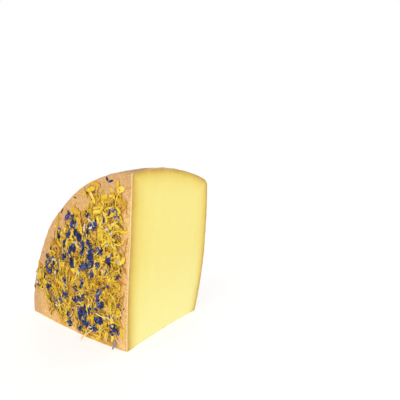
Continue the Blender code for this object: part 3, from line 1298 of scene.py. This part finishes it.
petal_finishes = {
    "broad_petals": dried_petal("broad_marigold", MARIGOLD_TINTS, 0.3),
    "marigold_petals": dried_petal("dried_marigold", MARIGOLD_TINTS, 0.3),
    "marigold_shreds": dried_petal("shredded_marigold", MARIGOLD_TINTS, 0.3),
    "marigold_crumbs": dried_petal("crumbled_marigold", MARIGOLD_TINTS, 0.3),
    "cornflower_florets": dried_petal("dried_cornflower", CORNFLOWER_TINTS, 0.0),
    "pale_scraps": dried_petal("bleached_petal", PALE_TINTS, 0.1),
    "straws": dried_petal("dried_straw", STRAW_TINTS, 0.1),
    "dark_bits": dried_petal("flower_base", DARK_TINTS, 0.0),
}
print("petal finishes:", len(petal_finishes))

# %% [markdown]
# ## Join the scraps of each kind
#
# Four thousand objects would be slow, so all scraps of one kind become one mesh. Every scrap of a
# kind has the same net of points, so the faces of all of them follow from the first one's by
# counting on. The edges where a scrap's top meets its underside are marked sharp, or smooth shading
# would make a flat petal look like a sausage.

# %% Join the scraps
def join_scraps(kind):
    """One mesh of all the scraps of a kind."""
    found = scraps[kind.name]
    ring = 2 * kind.columns - 2
    rings = kind.steps + 1
    step, corner = np.meshgrid(np.arange(kind.steps), np.arange(ring), indexing="ij")
    beside = (corner + 1) % ring
    sides = np.stack(
        [step * ring + corner, step * ring + beside, (step + 1) * ring + beside,
         (step + 1) * ring + corner], axis=-1
    ).reshape(-1, 4)
    first_cap = list(range(ring))[::-1]
    last_cap = [kind.steps * ring + i for i in range(ring)]
    faces = []
    for number in range(len(found)):
        offset = number * ring * rings
        faces += (sides + offset).tolist()
        faces.append([i + offset for i in first_cap])
        faces.append([i + offset for i in last_cap])

    points = np.concatenate([scrap["points"].reshape(-1, 3) for scrap in found])
    shares = np.repeat(np.linspace(0, 1, rings), ring)
    across = np.linspace(-1, 1, kind.columns)
    ring_across = np.tile(np.concatenate([across, across[1:-1][::-1]]), rings)
    width = np.mean(kind.width) / MM
    numbers = {
        "tint": np.repeat([scrap["tint"] for scrap in found], ring * rings),
        "along": np.concatenate([shares * scrap["length"] / MM for scrap in found]),
        "across": np.tile(ring_across * width / 2, len(found)),
    }
    piece = new_piece(kind.name, points, faces, petal_finishes[kind.name], numbers)

    ends = np.empty(2 * len(piece.data.edges), np.int32)
    piece.data.edges.foreach_get("vertices", ends)
    places = ends.reshape(-1, 2) % ring
    on_rim_line = (places[:, 0] == 0) | (places[:, 0] == kind.columns - 1)
    sharp = piece.data.attributes.new("sharp_edge", "BOOLEAN", "EDGE")
    sharp.data.foreach_set("value", (places[:, 0] == places[:, 1]) & on_rim_line)
    return piece


for kind in KINDS:
    piece = join_scraps(kind)
    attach(piece, "root")
    triangles = sum(len(face.vertices) - 2 for face in piece.data.polygons)
    print(kind.name + ":", triangles, "triangles")

# %% [markdown]
# ## Floor, light and camera
#
# The cheese stands on a light table, which is a sheet of opal acrylic lit from below, in a bright
# white room. The glow of the table takes away most of the shadow that the cheese would throw, and
# lights the foot of the cut from below. The rest of the light is soft: a broad panel overhead and a
# weaker one from the right. The camera stands close, a little lower than the top of the cheese, and
# looks past its near edge, so the wedge shows strong perspective.

# %% Floor
FLOOR_SIZE = 8.0
FLOOR_GAP = 0.2 * MM
FLOOR_GLOW = 1.25


def opal_acrylic():
    """Matt opal acrylic lit from below, with the faintest clouds in its glow."""
    material, tree, shader = new_material("opal_acrylic")
    place = add_node(tree, "TexCoord", {}).outputs["Object"]
    clouds = add_node(tree, "TexNoise", {"Vector": place, "Scale": per_metre(0.4), "Detail": 3})
    colour = add_node(
        tree,
        "Mix",
        {FACTOR: clouds.outputs["Fac"], FIRST: linear("#bababa"), SECOND: linear("#b6b6b6")},
        data_type="RGBA",
    )
    fill_inputs(
        tree,
        shader,
        {
            "Base Color": colour.outputs[MIXED],
            "Roughness": 0.6,
            "Emission Color": colour.outputs[MIXED],
            "Emission Strength": FLOOR_GLOW,
        },
    )
    return material


half_floor = FLOOR_SIZE / 2
floor_ways = [(-1, -1), (1, -1), (1, 1), (-1, 1)]
floor_corners = [(x * half_floor, y * half_floor, -FLOOR_GAP) for x, y in floor_ways]
floor = new_piece("light_table", floor_corners, [[0, 1, 2, 3]], opal_acrylic())
print("floor:", FLOOR_SIZE, "m wide")

# %% Light
CEILING = 0.3  # brightness of the ceiling, where the walls have 1
centre = (wedge_low + wedge_high) / 2


def add_panel(name, offset, size, watts):
    """A square light panel that faces the middle of the cheese."""
    light = bpy.data.lights.new(name, "AREA")
    light.size = size
    light.energy = watts
    panel = bpy.data.objects.new(name, light)
    panel.location = centre + Vector(offset)
    panel.rotation_euler = (-Vector(offset)).to_track_quat("-Z", "Y").to_euler()
    bpy.context.scene.collection.objects.link(panel)
    print(name, watts, "W")


add_panel("left_panel", (-0.1, -1.1, 0.5), 1.0, 5.0)
add_panel("right_panel", (1.15, -0.35, 0.45), 0.9, 4.0)

world = bpy.data.worlds.new("white_room")
world.use_nodes = True
room = world.node_tree
way = add_node(room, "TexCoord", {}).outputs["Generated"]
upward = add_node(room, "SeparateXYZ", {"Vector": way}).outputs["Z"]
brightness = add_node(
    room, "MapRange", {"Value": upward, "From Min": 0.62, "From Max": 0.9, "To Min": 1.0, "To Max": CEILING}
)
fill_inputs(
    room,
    room.nodes["Background"],
    {"Color": (1.0, 1.0, 1.0, 1.0), "Strength": brightness.outputs[0]},
)
bpy.context.scene.world = world
bpy.context.scene.view_settings.view_transform = "Standard"

# %% Camera
CAMERA_STAND = Vector((227.87, -184.41, 122.80)) * MM
CAMERA_HEADING = math.radians(33.731)  # to the left of straight ahead along +Y
CAMERA_TILT = math.radians(0.807)  # down
CAMERA_ROLL = math.radians(0.574)
LENS = 23.553
SENSOR = 36.0

lens = bpy.data.cameras.new("camera")
lens.lens = LENS
lens.sensor_width = SENSOR
lens.clip_start = 0.01
camera = bpy.data.objects.new("camera", lens)
turn = Matrix.Rotation(CAMERA_HEADING, 4, "Z") @ Matrix.Rotation(math.pi / 2 - CAMERA_TILT, 4, "X")
camera.matrix_world = Matrix.Translation(CAMERA_STAND) @ turn @ Matrix.Rotation(CAMERA_ROLL, 4, "Z")
bpy.context.scene.collection.objects.link(camera)
bpy.context.scene.camera = camera
print("camera is", round((camera.location - centre).length / MM), "mm from the cheese's middle")
